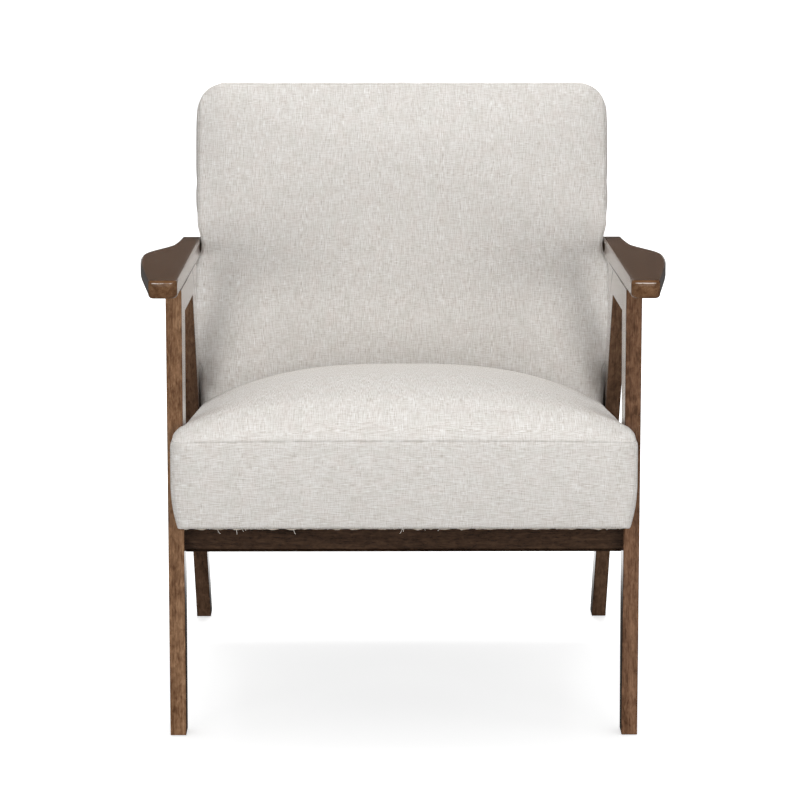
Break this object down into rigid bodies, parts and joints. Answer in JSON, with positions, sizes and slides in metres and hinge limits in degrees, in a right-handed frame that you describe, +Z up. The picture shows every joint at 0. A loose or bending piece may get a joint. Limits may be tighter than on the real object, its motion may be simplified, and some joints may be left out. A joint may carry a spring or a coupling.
{
  "type": "accent armchair",
  "caption": "Upholstered lounge armchair: open wooden side frames with splayed rear legs and paddle arms hold a crowned seat and a reclined padded back.",
  "frame": {"origin": "on the floor under the middle of the chair's bounding box", "axes": "+Z up, the sitter looks along -Y, +X to the left hand of the sitter"},
  "size_m": [0.713, 0.7906, 0.8209],
  "materials": {
    "stained_wood": "dark walnut stain under satin lacquer",
    "board_wood": "raw beech and pine",
    "upholstery": "off-white slubby woven fabric",
    "foam": "cut polyurethane foam",
    "webbing": "woven elastic strap",
    "dust_cloth": "black non-woven cloth",
    "steel": "zinc-plated steel",
    "glide": "matte dark plastic"
  },
  "bodies": {
    "root": {"left_front_leg": "stained_wood", "right_front_leg": "stained_wood", "left_rear_leg": "stained_wood", "right_rear_leg": "stained_wood", "left_top_rail": "stained_wood", "right_top_rail": "stained_wood", "left_arm": "stained_wood", "right_arm": "stained_wood", "front_stretcher": "stained_wood", "rear_stretcher": "stained_wood", "seat_front_board": "board_wood", "seat_rear_board": "board_wood", "seat_left_board": "board_wood", "seat_right_board": "board_wood", "seat_corner_blocks": "board_wood", "seat_webbing": "webbing", "seat_foam": "foam", "seat_cover": "upholstery", "seat_dust_cover": "dust_cloth", "back_left_board": "board_wood", "back_right_board": "board_wood", "back_top_board": "board_wood", "back_bottom_board": "board_wood", "back_webbing": "webbing", "back_foam": "foam", "back_cover": "upholstery", "back_outer_panel": "upholstery", "frame_bolts": "steel", "bolt_washers": "steel", "insert_nuts": "steel", "arm_screws": "steel", "block_screws": "steel", "arm_dowels": "board_wood", "rail_dowels": "board_wood", "stretcher_dowels": "board_wood", "foot_glides": "glide"}
  },
  "joints": []
}
